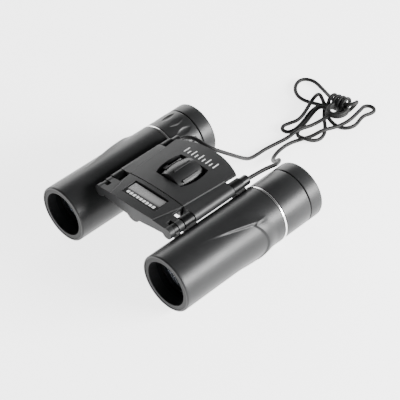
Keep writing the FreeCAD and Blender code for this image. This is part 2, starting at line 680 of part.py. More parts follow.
def front_plate():
    rear = SEAM_Y - SEAM_GAP / 2
    front = PLATE_FRONT_MIDDLE - 1
    body = Part.makeLoft([plate_section(front, PLATE_RIDGE_FRONT, PLATE_TOP_FRONT),
                          plate_section(rear, COVER_RIDGE_FRONT, COVER_TOP_MIDDLE - PLATE_EDGE_DROP / 2)],
                         True, True)
    for side in (LEFT, RIGHT):
        body = body.fuse(tube(side * HINGE_X, HINGE_Z, PLATE_WING_FRONT + SIDE_GAP, PLATE_WING_END,
                              PLATE_KNUCKLE_RADIUS))
    body = body.common(plate_outline(0, DEEP))
    boss_front = PLATE_FRONT_MIDDLE + PLATE_THICKNESS / 2
    body = body.fuse(tube(0, FOCUS_Z, boss_front, rear, BOSS_RADIUS))
    hollow_top = COVER_TOP_SIDE - PLATE_THICKNESS - LABEL_DEPTH
    hollow_inner = BOSS_RADIUS + PLATE_THICKNESS / 2
    hollow_outer = HINGE_X - PLATE_KNUCKLE_RADIUS - PLATE_THICKNESS
    for side in (LEFT, RIGHT):
        inner, outer = sorted((side * hollow_inner, side * hollow_outer))
        body = body.cut(box((inner, PLATE_FRONT_CORNER + PLATE_THICKNESS, 0),
                            (outer, rear - PLATE_THICKNESS, hollow_top)))
        body = body.cut(tube(side * HINGE_X, HINGE_Z, plate_bore_start(), BARREL_LENGTH,
                             ROD_RADIUS + RUNNING))
        ear_side = HINGE_X - EAR_RADIUS - SIDE_GAP
        notch_near, notch_far = sorted((side * ear_side, side * (HINGE_X + 2 * PLATE_KNUCKLE_RADIUS)))
        body = body.cut(box((notch_near, NOTCH[0], 0), (notch_far, NOTCH[1], DEEP)))
    body = body.cut(box((-LABEL_HALF, LABEL_FRONT, COVER_TOP_SIDE - LABEL_DEPTH),
                        (LABEL_HALF, LABEL_REAR, DEEP)))
    body = body.cut(tube(0, FOCUS_Z, SCREW_START - TRAVEL - SIDE_GAP, DEEP, SCREW_RADIUS + SIDE_GAP))
    nut_front = rear - NUT_LENGTH
    return body.cut(tube(0, FOCUS_Z, nut_front, DEEP, NUT_RADIUS + SEATED))


def label_plate():
    low = COVER_TOP_SIDE - LABEL_DEPTH + SEATED
    return box((-LABEL_HALF + SEATED, LABEL_FRONT + SEATED, low),
               (LABEL_HALF - SEATED, LABEL_REAR - SEATED, low + LABEL_THICKNESS))


def focus_nut():
    rear = SEAM_Y - SEAM_GAP / 2
    return tube(0, FOCUS_Z, rear - NUT_LENGTH + SEATED, rear, NUT_RADIUS, SCREW_RADIUS + RUNNING)


# ---- focus drive ----

def focus_wheel():
    """A crowned wheel with long grip ribs round it."""
    middle = (WHEEL_START + WHEEL_END) / 2
    start = Vector(WHEEL_END_RADIUS, WHEEL_START, FOCUS_Z)
    end = Vector(WHEEL_END_RADIUS, WHEEL_END, FOCUS_Z)
    bore = SCREW_RADIUS + SEATED
    edges = [Part.Arc(start, Vector(WHEEL_RADIUS, middle, FOCUS_Z), end).toShape()]
    edges += polyline([end, Vector(bore, WHEEL_END, FOCUS_Z), Vector(bore, WHEEL_START, FOCUS_Z), start])
    body = Part.Face(Part.Wire(edges)).revolve(Vector(0, 0, FOCUS_Z), Vector(0, 1, 0), 360)
    half = WHEEL_RIB_LENGTH / 2
    for number in range(WHEEL_RIBS):
        rib = box((-WHEEL_RIB_WIDTH / 2, middle - half, WHEEL_END_RADIUS),
                  (WHEEL_RIB_WIDTH / 2, middle + half, WHEEL_RADIUS + WHEEL_RIB))
        rib.rotate(Vector(0, 0, 0), Vector(0, 1, 0), number * 360.0 / WHEEL_RIBS + FIRST_RIB_ANGLE)
        rib.translate(Vector(0, 0, FOCUS_Z))
        body = body.fuse(rib)
    return body


def focus_screw():
    return tube(0, FOCUS_Z, SCREW_START, SCREW_END - SIDE_GAP, SCREW_RADIUS)


def focus_clip():
    """The spring clip that keeps the screw from moving along its axis."""
    start = SEAM_Y + SEAM_GAP / 2 + COVER_WALL + SIDE_GAP
    return tube(0, FOCUS_Z, start, start + CLIP_WIDTH, CLIP_RADIUS, SCREW_RADIUS + SEATED)


def focus_bush():
    start = WHEEL_END + WHEEL_CLEARANCE
    return tube(0, FOCUS_Z, start, SCREW_END, BUSH_RADIUS, SCREW_RADIUS + RUNNING)


# ---- neck cord ----

FLOOR = -BRIGHT_RING_RADIUS
LYING = FLOOR + CORD_RADIUS + 0.1
HANK_HEIGHT = 10.0
ARC_SHARE = 0.45        # how far along the shorter run a route's arc starts

RIGHT_LEAD = [
    (-HINGE_X, cord_start(), HINGE_Z),
    (-22.3, 65.3, 12.6),
    (-21.0, 67.7, 12.5),
    (-18.7, 69.3, 12.3),
    (-15.8, 70.0, 12.0),
    (-12.4, 70.1, 11.4),
    (-8.9, 71.2, 10.2),
    (-6.6, 74.2, 7.8),
    (-5.6, 79.0, 3.8),
    (-5.6, 84.6, -1.2),
    (-6.8, 90.2, -6.4),
    (-8.4, 95.6, -10.8),
    (-9.8, 101.6, -13.1),
    (-10.2, 108.2, LYING),
    (-9.0, 115.6, LYING + 0.1),
    (-7.5, 122.6, LYING),
    (-6.9, 129.6, LYING + 0.1),
]
LEFT_LEAD = [
    (HINGE_X, cord_start(), HINGE_Z),
    (22.8, 68.4, 12.5),
    (22.9, 75.0, 11.9),
    (22.6, 81.4, 11.3),
    (21.6, 87.6, 9.7),
    (17.0, 91.2, 4.8),
    (11.8, 94.6, -0.6),
    (6.4, 98.2, -6.2),
    (1.4, 102.0, -10.8),
    (-2.4, 106.6, -13.1),
    (-4.3, 112.6, LYING),
    (-4.4, 119.4, LYING + 0.1),
    (-2.4, 125.8, LYING),
    (0.4, 131.4, LYING + 0.1),
]
HANK_OUTLINE = [
    (-14.0, 124.5), (-5.0, 125.0), (5.5, 126.5), (8.5, 133.0), (8.0, 141.0), (13.5, 149.0), (13.5, 158.0),
    (9.0, 169.0), (0.0, 171.0), (-14.0, 170.5), (-34.0, 171.0), (-39.0, 165.0), (-38.0, 157.0),
    (-28.0, 149.5), (-18.5, 145.0), (-17.5, 131.0),
]


def corner_radius(before, point, after):
    """The radius of a route's arc at one point, and how far along its runs the arc starts."""
    into = point.sub(before)
    out = after.sub(point)
    turn = into.getAngle(out)
    cut = ARC_SHARE * min(into.Length, out.Length)
    return cut / math.tan(turn / 2), cut


def cord_tube(name, points):
    """A tube along straight runs joined by tangent arcs."""
    route = [Vector(*p) for p in points]
    edges = []
    here = route[0]
    for before, point, after in zip(route, route[1:], route[2:]):
        radius, cut = corner_radius(before, point, after)
        print("%s radius %.1f mm" % (name, radius))
        into = point.sub(before).normalize()
        out = after.sub(point).normalize()
        start = point.sub(Vector(into).multiply(cut))
        end = point.add(Vector(out).multiply(cut))
        inward = out.sub(into).normalize()
        reach = math.hypot(radius, cut) - radius
        middle = point.add(inward.multiply(reach))
        edges.append(Part.LineSegment(here, start).toShape())
        edges.append(Part.Arc(start, middle, end).toShape())
        here = end
    edges.append(Part.LineSegment(here, route[-1]).toShape())
    path = Part.Wire(edges)
    direction = route[1].sub(route[0]).normalize()
    profile = Part.Wire([Part.makeCircle(CORD_RADIUS, route[0], direction)])
    body = path.makePipeShell([profile], True, False)
    length = path.Length
    print("%s length %.1f mm, volume share %.4f"
          % (name, length, body.Volume / (math.pi * CORD_RADIUS ** 2 * length)))
    return body


def cord_hank():
    """The outer shape of the loosely wound middle of the cord."""
    corners = [Vector(x, y, 0) for x, y in HANK_OUTLINE]
    return flat_solid(polyline(corners + corners[:1]), FLOOR, FLOOR + HANK_HEIGHT)


def neck_cord():
    hank = cord_hank()
    leads = [cord_tube("left lead", LEFT_LEAD).cut(hank), cord_tube("right lead", RIGHT_LEAD).cut(hank)]
    return leads[0], leads[1], hank


# ---- assembly ----

def both_sides(name, shape):
    """The left piece and its mirror image on the right."""
    return {"left_" + name: shape, "right_" + name: mirrored(shape)}


def all_pieces():
    pieces = {}
    half_penta_prism, roof_prism = prisms()
    pieces.update(both_sides("barrel_housing", barrel_housing()))
    pieces.update(both_sides("barrel_armour", barrel_armour()))
    pieces.update(both_sides("front_ring", front_ring()))
    pieces.update(both_sides("prism_holder", prism_holder()))
    pieces.update(both_sides("half_penta_prism", half_penta_prism))
    pieces.update(both_sides("roof_prism", roof_prism))
    pieces.update(both_sides("bright_ring", bright_ring()))
    pieces.update(both_sides("eyepiece_core", eyepiece_core()))
    pieces.update(both_sides("eyecup", eyecup()))
    pieces.update(both_sides("ocular_cell", ocular_cell()))
    pieces.update(both_sides("field_lens", field_lens()))
    pieces.update(both_sides("eye_lens", eye_lens()))
    pieces.update(both_sides("objective_cell", objective_cell()))
    pieces.update(both_sides("objective_lens", objective_lens()))
    pieces.update(both_sides("lens_retainer", lens_retainer()))
    pieces.update(both_sides("hinge_rod", hinge_rod()))
    pieces.update(both_sides("strap_cap", strap_cap()))
    pieces["left_eyepiece_sleeve"] = eyepiece_sleeve()
    pieces["dioptre_ring"] = mirrored(eyepiece_sleeve())
    pieces["rear_cover"] = rear_cover()
    pieces["bottom_cover"] = bottom_cover()
    pieces["cover_screws"] = cover_screws()
    pieces["front_plate"] = front_plate()
    pieces["label_plate"] = label_plate()
    pieces["focus_nut"] = focus_nut()
    pieces["focus_wheel"] = focus_wheel()
    pieces["focus_screw"] = focus_screw()
    pieces["focus_clip"] = focus_clip()
    pieces["focus_bush"] = focus_bush()
    left_lead, right_lead, hank = neck_cord()
    pieces["neck_cord_left"] = left_lead
    pieces["neck_cord_right"] = right_lead
    pieces["neck_cord_hank"] = hank
    return pieces


def main():
    os.makedirs("parts", exist_ok=True)
    to_origin = Vector(0, -BARREL_LENGTH / 2, BRIGHT_RING_RADIUS)
    for name, shape in all_pieces().items():
        placed = shape.copy()
        placed.translate(to_origin)
        placed.exportStep(os.path.join("parts", name + ".step"))


main()
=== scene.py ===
import json
import math

import bmesh
import bpy
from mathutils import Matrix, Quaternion, Vector
from mathutils.bvhtree import BVHTree


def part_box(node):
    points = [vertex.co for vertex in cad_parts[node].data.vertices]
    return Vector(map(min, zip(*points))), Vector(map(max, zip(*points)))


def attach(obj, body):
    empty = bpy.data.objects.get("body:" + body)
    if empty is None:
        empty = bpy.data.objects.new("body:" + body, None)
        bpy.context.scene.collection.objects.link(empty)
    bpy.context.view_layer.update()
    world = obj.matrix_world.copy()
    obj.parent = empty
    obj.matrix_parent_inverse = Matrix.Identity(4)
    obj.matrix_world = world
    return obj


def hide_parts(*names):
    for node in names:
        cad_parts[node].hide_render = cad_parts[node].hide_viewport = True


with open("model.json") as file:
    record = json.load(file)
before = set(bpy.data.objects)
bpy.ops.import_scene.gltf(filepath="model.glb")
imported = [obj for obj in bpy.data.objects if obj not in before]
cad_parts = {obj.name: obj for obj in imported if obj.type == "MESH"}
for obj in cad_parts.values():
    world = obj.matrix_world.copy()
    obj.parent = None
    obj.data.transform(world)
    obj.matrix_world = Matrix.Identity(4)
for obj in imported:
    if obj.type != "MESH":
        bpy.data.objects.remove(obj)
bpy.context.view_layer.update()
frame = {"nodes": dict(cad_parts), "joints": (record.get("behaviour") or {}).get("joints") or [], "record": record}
NODES = frame["nodes"]
JOINTS = {joint["name"]: joint for joint in frame["joints"]}
BODIES = frame["record"]["behaviour"]["bodies"]
BODY_OF = {node: body for body, nodes in BODIES.items() for node in nodes}

# ---- sizes, metres ----
MM = 0.001
BARREL_X = -JOINTS["dioptre_turn"]["pos_m"][0]
BARREL_Z = JOINTS["dioptre_turn"]["pos_m"][2]
HINGE_X = JOINTS["left_fold"]["pos_m"][0]
HINGE_Z = JOINTS["left_fold"]["pos_m"][2]
SIDES = {"left": 1, "right": -1}   # the left barrel lies at +X


# ---- camera ----

LENS = 123.0
CAMERA_PLACE = (0.3700, -0.31175, 0.42075)
CAMERA_TARGET = (0.00557, 0.00639, 0.01445)
CAMERA_ROLL = -4.84    # degrees


def aim(thing, target, roll=0.0):
    """Turns a camera or a light so that it looks at a point."""
    direction = Vector(target) - thing.location
    turn = direction.to_track_quat("-Z", "Y") @ Quaternion((0, 0, 1), math.radians(roll))
    thing.rotation_mode = "QUATERNION"
    thing.rotation_quaternion = turn


def make_camera():
    """The camera at the photograph's viewing angle."""
    data = bpy.data.cameras.new("camera")
    data.lens = LENS
    data.sensor_width = 36.0
    data.clip_start = 0.01
    camera = bpy.data.objects.new("camera", data)
    bpy.context.scene.collection.objects.link(camera)
    camera.location = CAMERA_PLACE
    aim(camera, CAMERA_TARGET, CAMERA_ROLL)
    bpy.context.scene.camera = camera


# ---- mesh helpers ----

ROUNDING_STEPS = 4
SHARP_ANGLE = 34.0         # degrees, edges sharper than this are shaded as edges
DENT_ROW = 0.25 * MM       # longest run of a section where hollows are pressed in
SAME_PLACE = 1e-6          # points closer than this are one point
FLAT_ANGLE = 1.0           # degrees, CAD faces within this are joined before their edges are rounded
BEVEL_ANGLE = 28.0         # degrees, sharper edges than this are rounded
BEVEL_STEPS = 3


def new_object(name, vertices, faces, body, material):
    """A smooth mesh piece that rides on a body, with the material it is given."""
    mesh = bpy.data.meshes.new(name)
    mesh.from_pydata(vertices, [], faces)
    mesh.validate()
    piece = bpy.data.objects.new(name, mesh)
    bpy.context.scene.collection.objects.link(piece)
    mesh.polygons.foreach_set("use_smooth", [True] * len(mesh.polygons))
    mesh.materials.append(material)
    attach(piece, body)
    return piece


def grid_faces(rows, columns, closed_rows=False):
    """Quads between rows of points, where each row is a closed ring.

    closed_rows joins the last row to the first.
    """
    faces = []
    for row in range(rows if closed_rows else rows - 1):
        after = (row + 1) % rows
        for column in range(columns):
            beside = (column + 1) % columns
            faces.append((row * columns + column, after * columns + column,
                          after * columns + beside, row * columns + beside))
    return faces


def rounded_section(corners):
    """Points round a closed section. Each corner is (radius, y, rounding)."""
    points = []
    count = len(corners)
    for number, (radius, y, rounding) in enumerate(corners):
        here = Vector((radius, y))
        if rounding <= 0:
            points.append(here)
            continue
        before = (Vector(corners[number - 1][:2]) - here).normalized()
        after = (Vector(corners[(number + 1) % count][:2]) - here).normalized()
        start = here + before * rounding
        end = here + after * rounding
        for step in range(ROUNDING_STEPS + 1):
            share = step / ROUNDING_STEPS
            points.append(start * (1 - share) ** 2 + here * (2 * share * (1 - share)) + end * share ** 2)
    return points


def split_runs(points, longest):
    """The same closed section with points added, so that no run is longer than a length."""
    fine = []
    for here, after in zip(points, points[1:] + points[:1]):
        parts = max(1, math.ceil((after - here).length / longest))
        fine += [here.lerp(after, part / parts) for part in range(parts)]
    return fine


def lathe(name, corners, centre, body, slot, segments, dent=None):
    """A closed ring about an axis along Y.

    dent moves a point inward by what it returns for (radius, y, angle).
    """
    section = rounded_section(corners)
    if dent:
        section = split_runs(section, DENT_ROW)
    vertices = []
    for radius, y in section:
        for column in range(segments):
            angle = 2 * math.pi * column / segments
            reach = radius - (dent(radius, y, angle) if dent else 0.0)
            vertices.append((centre[0] + reach * math.cos(angle), y, centre[1] + reach * math.sin(angle)))
    faces = grid_faces(len(section), segments, True)
    piece = new_object(name, vertices, faces, body, MATERIALS[slot])
    sharpen(piece)
    return piece


def sharpen(piece, angle=SHARP_ANGLE):
    """Outward faces, and edges sharper than an angle shaded as edges."""
    mesh = bmesh.new()
    mesh.from_mesh(piece.data)
    bmesh.ops.recalc_face_normals(mesh, faces=mesh.faces)
    for edge in mesh.edges:
        if len(edge.link_faces) == 2 and edge.calc_face_angle() > math.radians(angle):
            edge.smooth = False
    mesh.to_mesh(piece.data)
    mesh.free()


def soften(node, width):
    """Small round edges on a CAD node, by modifiers only."""
    piece = NODES[node]
    weld = piece.modifiers.new("weld", "WELD")
    weld.merge_threshold = SAME_PLACE
    flat = piece.modifiers.new("flat", "DECIMATE")
    flat.decimate_type = "DISSOLVE"
    flat.angle_limit = math.radians(FLAT_ANGLE)
    bevel = piece.modifiers.new("bevel", "BEVEL")
    bevel.width = width
    bevel.segments = BEVEL_STEPS
    bevel.limit_method = "ANGLE"
    bevel.angle_limit = math.radians(BEVEL_ANGLE)
    bevel.use_clamp_overlap = True
    normals = piece.modifiers.new("normals", "WEIGHTED_NORMAL")
    normals.keep_sharp = True


# ---- materials ----

TURNING_SCALE = 2600.0     # how fine the turning marks of machined metal are
LABEL_GAP_SHADE = 0.75 * MM   # width of the black edge painted as shade of the gap round the label
LABEL_BLUR = 0.15 * MM     # how soft the inner edge of that painted shade is
LABEL_FADE = 1.2 * MM      # half the width over which the silver field turns to black
LABEL_SHIFT = 0.4 * MM     # how far that lies in front of the label's middle
LABEL_DIM = 0.45           # how bright the silver field is at its dimmer side
COOL = 0.02                # how much cooler than grey the plastics are
PATCH_SCALE = 55.0         # uneven colour of moulded plastic
GLOSS_SCALE = 140.0        # its uneven gloss
SCUFF_SCALE = 260.0        # its shallow waves
INK_SCALE = 2400.0

# the cord's braid, in its material and its mesh
CORD_RADIUS = 0.96 * MM
CORD_RELIEF = 0.04 * MM    # how far the strands stand out
CORD_WAVES = 6             # strands that run one way round the cord
WEAVE_LENGTH = 9.6 * MM    # length of cord in which a strand goes once round it
CORD_SIDES = 24
CORD_RINGS_PER_POINT = 22


class Nodes:
    """Short ways to add and join shader nodes in one material."""

    def __init__(self, name):
        self.material = bpy.data.materials.new(name)
        self.material.use_nodes = True
        self.tree = self.material.node_tree
        self.shader = self.tree.nodes["Principled BSDF"]
        self.place = self.tree.nodes.new("ShaderNodeTexCoord").outputs["Object"]

    def add(self, kind, **settings):
        node = self.tree.nodes.new(kind)
        for key, value in settings.items():
            setattr(node, key, value)
        return node

    def join(self, output, target):
        self.tree.links.new(output, target)

    def noise(self, scale, detail=3.0, roughness=0.55, place=None):
        """Noise of a scale per metre, laid out on the piece unless another place is given."""
        node = self.add("ShaderNodeTexNoise")
        node.inputs["Scale"].default_value = scale
        node.inputs["Detail"].default_value = detail
        node.inputs["Roughness"].default_value = roughness
        self.join(place or self.place, node.inputs["Vector"])
        return node.outputs["Fac"]

    def ramp(self, factor, low, high, start, end):
        """A colour that goes from low to high as a factor goes from start to end."""
        node = self.add("ShaderNodeValToRGB")
        node.color_ramp.elements[0].position = start
        node.color_ramp.elements[1].position = end
        node.color_ramp.elements[0].color = low
        node.color_ramp.elements[1].color = high
        self.join(factor, node.inputs["Fac"])
        return node.outputs["Color"]

    def bump(self, heights):
        """Bumps one on another. Each is (height, strength, distance)."""
        normal = None
        for height, strength, distance in heights:
            node = self.add("ShaderNodeBump")
            node.inputs["Strength"].default_value = strength
            node.inputs["Distance"].default_value = distance
            self.join(height, node.inputs["Height"])
            if normal:
                self.join(normal, node.inputs["Normal"])
            normal = node.outputs["Normal"]
        self.join(normal, self.shader.inputs["Normal"])


def grey(value, tint=0.0):
    """A neutral colour, a little cooler when tint is above zero."""
    return (value * (1 - tint), value, value * (1 + tint), 1.0)


def moulded(name, dark, light, rough, grain_scale, grain_depth, specular):
    """Moulded plastic or rubber with a fine grain, uneven gloss and slightly uneven colour."""
    look = Nodes(name)
    patches = look.noise(PATCH_SCALE, 4.0)
    grain = look.noise(grain_scale, 2.0, 0.6)
    colour = look.ramp(patches, grey(dark, COOL), grey(light, COOL), 0.32, 0.72)
    look.join(colour, look.shader.inputs["Base Color"])
    gloss = look.add("ShaderNodeMapRange")
    gloss.inputs["To Min"].default_value = rough - 0.04
    gloss.inputs["To Max"].default_value = rough + 0.05
    look.join(look.noise(GLOSS_SCALE), gloss.inputs["Value"])
    look.join(gloss.outputs["Result"], look.shader.inputs["Roughness"])
    look.shader.inputs["Specular IOR Level"].default_value = specular
    look.bump([(grain, 0.5, grain_depth), (look.noise(SCUFF_SCALE, 2.0), 0.12, grain_depth * 2)])
    return look.material


def turned_metal(name, value, rough):
    """Machined metal with fine turning marks round its axis."""
    look = Nodes(name)
    look.shader.inputs["Metallic"].default_value = 1.0
    stretch = look.add("ShaderNodeMapping")
    stretch.inputs["Scale"].default_value = (0.02, 1.0, 0.02)
    look.join(look.place, stretch.inputs["Vector"])
    rings = look.noise(TURNING_SCALE, 2.0, 0.5, stretch.outputs["Vector"])
    look.join(look.ramp(rings, grey(value * 0.9), grey(value), 0.35, 0.65), look.shader.inputs["Base Color"])
    gloss = look.add("ShaderNodeMapRange")
    gloss.inputs["To Min"].default_value = rough
    gloss.inputs["To Max"].default_value = rough + 0.1
    look.join(look.noise(300.0), gloss.inputs["Value"])
    look.join(gloss.outputs["Result"], look.shader.inputs["Roughness"])
    look.bump([(rings, 0.25, 0.00002)])
    return look.material


def optical_glass(name, tint, coat_tint):
    """Glass with a coloured reflection from its coating."""
    look = Nodes(name)
    look.shader.inputs["Transmission Weight"].default_value = 0.85
    look.shader.inputs["IOR"].default_value = 1.52
    look.shader.inputs["Roughness"].default_value = 0.02
    look.shader.inputs["Specular Tint"].default_value = coat_tint
    darker = tuple(0.9 * part for part in tint[:3]) + (1.0,)
    look.join(look.ramp(look.noise(90.0), tint, darker, 0.3, 0.7), look.shader.inputs["Base Color"])
    look.bump([(look.noise(400.0), 0.02, 0.00001)])
    return look.material


def label_gloss(name, low, high):
    """The label: a silver field that dims to one side, with a black lacquered front and a black edge that is
    painted shade of the gap round the label.
    """
    look = Nodes(name)
    split = look.add("ShaderNodeSeparateXYZ")
    look.join(look.place, split.inputs["Vector"])

    def step(axis, start, end, low_value=0.0, high_value=1.0):
        """A smooth change between two places along one axis."""
        change = look.add("ShaderNodeMapRange", interpolation_type="SMOOTHSTEP")
        change.inputs["From Min"].default_value = start
        change.inputs["From Max"].default_value = end
        change.inputs["To Min"].default_value = low_value
        change.inputs["To Max"].default_value = high_value
        look.join(split.outputs[axis], change.inputs["Value"])
        return change.outputs["Result"]

    def product(first, second):
        both = look.add("ShaderNodeMath", operation="MULTIPLY")
        look.join(first, both.inputs[0])
        look.join(second, both.inputs[1])
        return both.outputs["Value"]

    middle = (low.y + high.y) / 2 - LABEL_SHIFT
    # the silver field stops short of the rear and side edges, leaving a black strip there as painted shade of the
    # gap round the label
    rear = high.y - LABEL_GAP_SHADE
    left = high.x - LABEL_GAP_SHADE
    right = low.x + LABEL_GAP_SHADE
    field = product(step("Y", middle - LABEL_FADE, middle + LABEL_FADE), step("Y", rear + LABEL_BLUR, rear))
    field = product(field, step("X", right - LABEL_BLUR, right))
    field = product(field, step("X", left + LABEL_BLUR, left))
    field = product(field, step("X", low.x, high.x, 1.0, LABEL_DIM))
    look.join(look.ramp(field, grey(0.004), grey(0.80), 0.0, 1.0), look.shader.inputs["Base Color"])
    look.join(field, look.shader.inputs["Metallic"])
    gloss = look.add("ShaderNodeMapRange")
    gloss.inputs["To Min"].default_value = 0.16
    gloss.inputs["To Max"].default_value = 0.26
    look.join(look.noise(700.0), gloss.inputs["Value"])
    look.join(gloss.outputs["Result"], look.shader.inputs["Roughness"])
    look.bump([(look.noise(1400.0), 0.02, 0.000005)])
    return look.material


def printed(name, value):
    """Light grey printing ink, slightly worn."""
    look = Nodes(name)
    colour = look.ramp(look.noise(INK_SCALE), grey(value * 0.75), grey(value), 0.3, 0.6)
    look.join(colour, look.shader.inputs["Base Color"])
    look.shader.inputs["Roughness"].default_value = 0.45
    look.bump([(look.noise(INK_SCALE), 0.1, 0.00001)])
    return look.material


def braid_material(name):
    """Braided nylon, where light and dark strands cross, with fine fibres."""
    look = Nodes(name)
    uv = look.add("ShaderNodeUVMap", uv_map="weave")
    split = look.add("ShaderNodeSeparateXYZ")
    look.join(uv.outputs["UV"], split.inputs["Vector"])
    waves = []
    for direction in (1, -1):
        mix = look.add("ShaderNodeMath", operation="MULTIPLY_ADD")
        look.join(split.outputs["X"], mix.inputs[0])
        mix.inputs[1].default_value = direction * CORD_WAVES * 2 * math.pi
        scaled = look.add("ShaderNodeMath", operation="MULTIPLY")
        look.join(split.outputs["Y"], scaled.inputs[0])
        scaled.inputs[1].default_value = CORD_WAVES * 2 * math.pi
        look.join(scaled.outputs["Value"], mix.inputs[2])
        wave = look.add("ShaderNodeMath", operation="SINE")
        look.join(mix.outputs["Value"], wave.inputs[0])
        waves.append(wave.outputs["Value"])
    cross = look.add("ShaderNodeMath", operation="MULTIPLY")
    look.join(waves[0], cross.inputs[0])
    look.join(waves[1], cross.inputs[1])
    level = look.add("ShaderNodeMapRange")
    level.inputs["From Min"].default_value = -1.0
    look.join(cross.outputs["Value"], level.inputs["Value"])
    colour = look.ramp(level.outputs["Result"], grey(0.002), grey(0.022), 0.25, 0.95)
    look.join(colour, look.shader.inputs["Base Color"])
    look.shader.inputs["Roughness"].default_value = 0.55
    look.shader.inputs["Specular IOR Level"].default_value = 0.2
    look.shader.inputs["Sheen Weight"].default_value = 0.03
    look.shader.inputs["Sheen Roughness"].default_value = 0.4
    fibres = look.noise(9000.0, 2.0)
    look.bump([(level.outputs["Result"], 0.6, 0.00006), (fibres, 0.35, 0.00002)])
    return look.material


# Each slot's material. moulded: dark, light, roughness, grain scale and grain depth.
MATERIALS = {
    "housing": moulded("housing_plastic", 0.003, 0.005, 0.34, 5200.0, 0.00001, specular=0.14),
    "armour": moulded("armour_rubber", 0.013, 0.017, 0.36, 4200.0, 0.00002, specular=0.24),
    "ring_plastic": moulded("ring_plastic", 0.006, 0.009, 0.45, 5200.0, 0.00002, specular=0.14),
    "inner_plastic": moulded("inner_plastic", 0.002, 0.003, 0.60, 3000.0, 0.00003, specular=0.2),
    "glass": optical_glass("prism_glass", (0.92, 0.95, 0.94, 1.0), (1.0, 1.0, 1.0, 1.0)),
    "coated_glass": optical_glass("coated_glass", (0.80, 0.85, 0.92, 1.0), (0.55, 0.62, 1.0, 1.0)),
    "bright_metal": turned_metal("bright_metal", 0.92, 0.12),
    "eyecup_rubber": moulded("eyecup_rubber", 0.014, 0.018, 0.37, 4600.0, 0.00002, specular=0.24),
    "cell_metal": turned_metal("cell_metal", 0.03, 0.42),
    "steel": turned_metal("steel", 0.62, 0.20),
    "cap_metal": moulded("cap_lacquer", 0.006, 0.009, 0.32, 5200.0, 0.00001, specular=0.28),
    "eyepiece_plastic": moulded("eyepiece_plastic", 0.013, 0.017, 0.34, 4800.0, 0.00002, specular=0.25),
    "cover_plastic": moulded("cover_plastic", 0.018, 0.022, 0.42, 3600.0, 0.00003, specular=0.22),
    "label_gloss": label_gloss("label_lacquer_and_gap_shade", *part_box("label_plate")),
    "brass": turned_metal("brass", 0.45, 0.28),
    "wheel_rubber": moulded("wheel_rubber", 0.012, 0.015, 0.36, 4200.0, 0.00002, specular=0.25),
    "cord_fabric": braid_material("cord_braid"),
}
INK = printed("pale_ink", 0.95)


def finish_cad_nodes():
    """Every CAD node takes the material of its slot."""
    slots = {part["node"]: part["material_slot"] for part in frame["record"]["subparts"]}
    for node, slot in slots.items():
        mesh = NODES[node].data
        mesh.materials.clear()
        mesh.materials.append(MATERIALS[slot])


# ---- neck cord ----

# Control points of the cord's route, as listed. cord_route() joins them in order.
LEFT_LEAD = [
    (HINGE_X, 0.01950, HINGE_Z),
    (0.0228, 0.02545, 0.02695),
    (0.0229, 0.03205, 0.02635),
    (0.0227, 0.03640, 0.02520),
    (0.0216, 0.04180, 0.02290),
    (0.0170, 0.04825, 0.01925),
    (0.0118, 0.05165, 0.01385),
    (0.0064, 0.05525, 0.00825),
    (0.0014, 0.05905, 0.00365),
    (-0.0024, 0.06365, 0.00135),
    (-0.0043, 0.06965, 0.00100),
    (-0.0044, 0.07645, 0.00110),
    (-0.0024, 0.08285, 0.00100),
    (0.0004, 0.08845, 0.00110),
]
RIGHT_LEAD = [
    (-HINGE_X, 0.01950, HINGE_Z),
    (-0.0223, 0.02235, 0.02705),
    (-0.0210, 0.02475, 0.02695),
    (-0.0187, 0.02635, 0.02675),
    (-0.0158, 0.02705, 0.02645),
    (-0.0124, 0.02715, 0.02585),
    (-0.0089, 0.02825, 0.02465),
    (-0.0066, 0.03125, 0.02225),
    (-0.0056, 0.03605, 0.01825),
    (-0.0056, 0.04165, 0.01325),
    (-0.0068, 0.04725, 0.00805),
    (-0.0084, 0.05265, 0.00365),
    (-0.0098, 0.05865, 0.00135),
    (-0.0102, 0.06525, 0.00100),
    (-0.0090, 0.07265, 0.00110),
    (-0.0075, 0.07965, 0.00150),
    (-0.0069, 0.08415, 0.00290),
]
RIGHT_LOOPS = [
    (0.0022, 0.0926, 0.0027),
    (0.0034, 0.0960, 0.0028),
    (0.0046, 0.0996, 0.0022),
    (0.0060, 0.1040, 0.0020),
    (0.0072, 0.1082, 0.0027),
    (0.0074, 0.1126, 0.0034),
    (0.0062, 0.1172, 0.0030),
    (0.0050, 0.1208, 0.0020),
    (0.0038, 0.1240, 0.0014),
    (0.0049, 0.1266, 0.0011),
    (0.0080, 0.1272, 0.0010),
    (0.0104, 0.1250, 0.0010),
    (0.0101, 0.1218, 0.0011),
    (0.0090, 0.1186, 0.0013),
    (0.0096, 0.1144, 0.0013),
    (0.0108, 0.1104, 0.0010),
    (0.0100, 0.1062, 0.0010),
    (0.0072, 0.1036, 0.0010),
    (0.0036, 0.1026, 0.0016),
    (-0.0002, 0.1027, 0.0030),
]
LEFT_LOOP = [
    (-0.0176, 0.1076, 0.0029),
    (-0.0164, 0.1046, 0.0028),
    (-0.0149, 0.1010, 0.0028),
    (-0.0133, 0.0964, 0.0026),
    (-0.0134, 0.0926, 0.0018),
    (-0.0156, 0.0890, 0.0011),
    (-0.0166, 0.0854, 0.0010),
    (-0.0146, 0.0828, 0.0010),
    (-0.0114, 0.0829, 0.0010),
    (-0.0099, 0.0858, 0.0010),
    (-0.0101, 0.0900, 0.0010),
    (-0.0117, 0.0966, 0.0010),
    (-0.0135, 0.1014, 0.0010),
    (-0.0142, 0.1060, 0.0012),
    (-0.0126, 0.1096, 0.0027),
    (-0.0096, 0.1116, 0.0036),
    (-0.0060, 0.1130, 0.0038),
    (-0.0022, 0.1132, 0.0036),
    (0.0014, 0.1118, 0.0034),
    (0.0026, 0.1086, 0.0032),
    (0.0002, 0.1060, 0.0032),
    (-0.0036, 0.1062, 0.0036),
    (-0.0074, 0.1080, 0.0040),
    (-0.0098, 0.1078, 0.0038),
    (-0.0113, 0.1064, 0.0033),
]
